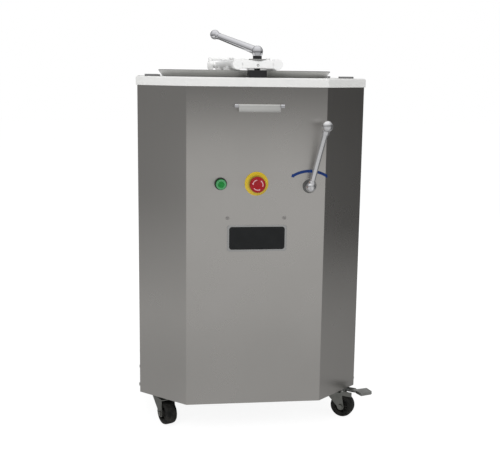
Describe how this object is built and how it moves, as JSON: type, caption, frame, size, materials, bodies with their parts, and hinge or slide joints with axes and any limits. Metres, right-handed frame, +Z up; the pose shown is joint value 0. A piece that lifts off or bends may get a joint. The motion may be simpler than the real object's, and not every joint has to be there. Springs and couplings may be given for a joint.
{
  "type": "hydraulic dough divider",
  "caption": "Floor-standing hydraulic dough divider: chamfered stainless cabinet on casters, white table, round bin under a hinged locking lid, control lever and stop button.",
  "frame": {"origin": "on the floor, below the axis of the round dough bin", "axes": "+Z up, the control front faces -Y, +X to the right of someone who looks at the front"},
  "size_m": [0.6303, 0.6782, 1.0395],
  "materials": {
    "stainless_sheet": "fine brushed grain",
    "polished_steel": "turned and polished",
    "white_table": "smooth white coating",
    "white_frame": "white powder coat",
    "grey_frame": "satin grey paint",
    "black_steel": "blackened, satin",
    "chrome": "bright plated",
    "handle_steel": "satin",
    "plain_steel": "bright zinc",
    "knife_steel": "ground",
    "nameplate_black": "satin black with a bright border",
    "valve_steel": "dull zinc",
    "bezel_dark": "matte",
    "start_green": "gloss",
    "stop_yellow": "satin",
    "stop_red": "gloss",
    "switch_plastic": "moulded",
    "pad_plastic": "machined food-grade",
    "hydraulic_paint": "machine enamel",
    "pump_iron": "cast",
    "motor_paint": "machine enamel",
    "hose_rubber": "matt",
    "box_paint": "fine texture paint",
    "zinc_steel": "zinc plated",
    "wheel_black": "moulded rubber on a plastic hub"
  },
  "bodies": {
    "cabinet": {"front_panel": "stainless_sheet", "right_panel": "stainless_sheet", "left_panel": "stainless_sheet", "rear_panel": "stainless_sheet", "dough_bin": "polished_steel", "table_top": "white_table", "hinge_bracket": "white_frame", "base_plate": "grey_frame", "tie_columns": "grey_frame", "column_nuts": "black_steel", "keeper": "black_steel", "handle_posts": "chrome", "hinge_pin": "chrome", "panel_screws": "plain_steel", "hinge_screws": "plain_steel", "nameplate": "nameplate_black", "valve_body": "valve_steel", "start_bezel": "bezel_dark", "stop_plate": "stop_yellow", "switch_blocks": "switch_plastic", "cable_gland": "switch_plastic", "main_cylinder": "hydraulic_paint", "knife_cylinders": "hydraulic_paint", "oil_tank": "hydraulic_paint", "pump": "pump_iron", "motor": "motor_paint", "hydraulic_hoses": "hose_rubber", "control_box": "box_paint", "caster_heads": "zinc_steel"},
    "lid": {"lid_dish": "polished_steel", "lid_arms": "white_frame", "lid_crossblock": "white_frame", "lid_saddles": "white_frame", "saddle_bolts": "white_frame"},
    "lid_lock": {"lock_lever": "chrome", "lock_spindle": "black_steel"},
    "drop_handle": {"front_handle": "handle_steel"},
    "control": {"control_lever": "chrome", "valve_spool": "chrome"},
    "start": {"start_button": "start_green"},
    "stop_plunger": {"stop_stem": "switch_plastic"},
    "stop_knob": {"stop_head": "stop_red"},
    "press": {"press_ram": "chrome", "press_carrier": "grey_frame", "press_rods": "plain_steel", "press_pads": "pad_plastic"},
    "knives": {"knife_rods": "chrome", "knife_carrier": "grey_frame", "knife_blades": "knife_steel"},
    "rotor": {"motor_shaft": "plain_steel"},
    "front_left_caster": {"front_left_fork": "zinc_steel"},
    "front_left_tread": {"front_left_wheel": "wheel_black"},
    "front_right_caster": {"front_right_fork": "zinc_steel"},
    "front_right_tread": {"front_right_wheel": "wheel_black"},
    "front_right_brake": {"front_right_pedal": "zinc_steel"},
    "rear_left_caster": {"rear_left_fork": "zinc_steel"},
    "rear_left_tread": {"rear_left_wheel": "wheel_black"},
    "rear_right_caster": {"rear_right_fork": "zinc_steel"},
    "rear_right_tread": {"rear_right_wheel": "wheel_black"}
  },
  "joints": [
    {"name": "lid_hinge", "type": "hinge", "parent": "cabinet", "child": "lid", "pos_m": [0, 0.268, 0.9535], "axis": [-1, 0, 0], "range_deg": [0, 100]},
    {"name": "lock_turn", "type": "hinge", "parent": "lid", "child": "lid_lock", "pos_m": [0, -0.274, 0.9855], "axis": [0, 0, 1], "range_deg": [0, 90]},
    {"name": "handle_swing", "type": "hinge", "parent": "cabinet", "child": "drop_handle", "pos_m": [0.004, -0.303, 0.853], "axis": [-1, 0, 0], "range_deg": [0, 85]},
    {"name": "control_turn", "type": "hinge", "parent": "cabinet", "child": "control", "pos_m": [0.135, -0.3112, 0.6537], "axis": [0, 1, 0], "range_deg": [-45, 25]},
    {"name": "start_push", "type": "slide", "parent": "cabinet", "child": "start", "axis": [0, 1, 0], "range_m": [0, 0.003], "stiffness_N_per_m": 1500, "springref_m": -0.001},
    {"name": "stop_push", "type": "slide", "parent": "cabinet", "child": "stop_plunger", "axis": [0, 1, 0], "range_m": [0, 0.004]},
    {"name": "stop_twist", "type": "hinge", "parent": "stop_plunger", "child": "stop_knob", "pos_m": [0, -0.305, 0.6605], "axis": [0, 1, 0], "range_deg": [0, 40], "stiffness_Nm_per_rad": 0.1},
    {"name": "press_lift", "type": "slide", "parent": "cabinet", "child": "press", "axis": [0, 0, 1], "range_m": [0, 0.115]},
    {"name": "knife_lift", "type": "slide", "parent": "cabinet", "child": "knives", "axis": [0, 0, 1], "range_m": [0, 0.115]},
    {"name": "rotor_spin", "type": "hinge", "parent": "cabinet", "child": "rotor", "pos_m": [-0.06, 0.18, 0.3], "axis": [0, 0, 1], "continuous": true},
    {"name": "front_left_swivel", "type": "hinge", "parent": "cabinet", "child": "front_left_caster", "pos_m": [-0.236, -0.182, 0.08], "axis": [0, 0, 1], "continuous": true},
    {"name": "front_left_roll", "type": "hinge", "parent": "front_left_caster", "child": "front_left_tread", "pos_m": [-0.22241, -0.20986, 0.03175], "axis": [0.8988, 0.4384, 0], "continuous": true},
    {"name": "front_right_swivel", "type": "hinge", "parent": "cabinet", "child": "front_right_caster", "pos_m": [0.236, -0.182, 0.08], "axis": [0, 0, 1], "continuous": true},
    {"name": "front_right_roll", "type": "hinge", "parent": "front_right_caster", "child": "front_right_tread", "pos_m": [0.26229, -0.19843, 0.03175], "axis": [0.5299, 0.848, 0], "continuous": true},
    {"name": "front_right_press", "type": "hinge", "parent": "front_right_caster", "child": "front_right_brake", "pos_m": [0.26653, -0.20108, 0.0765], "axis": [0.5299, 0.848, 0], "range_deg": [0, 14]},
    {"name": "rear_left_swivel", "type": "hinge", "parent": "cabinet", "child": "rear_left_caster", "pos_m": [-0.236, 0.215, 0.08], "axis": [0, 0, 1], "continuous": true},
    {"name": "rear_left_roll", "type": "hinge", "parent": "rear_left_caster", "child": "rear_left_tread", "pos_m": [-0.24244, 0.24532, 0.03175], "axis": [-0.9781, -0.2079, 0], "continuous": true},
    {"name": "rear_right_swivel", "type": "hinge", "parent": "cabinet", "child": "rear_right_caster", "pos_m": [0.236, 0.215, 0.08], "axis": [0, 0, 1], "continuous": true},
    {"name": "rear_right_roll", "type": "hinge", "parent": "rear_right_caster", "child": "rear_right_tread", "pos_m": [0.24138, 0.24553, 0.03175], "axis": [-0.9848, 0.1736, 0], "continuous": true}
  ]
}
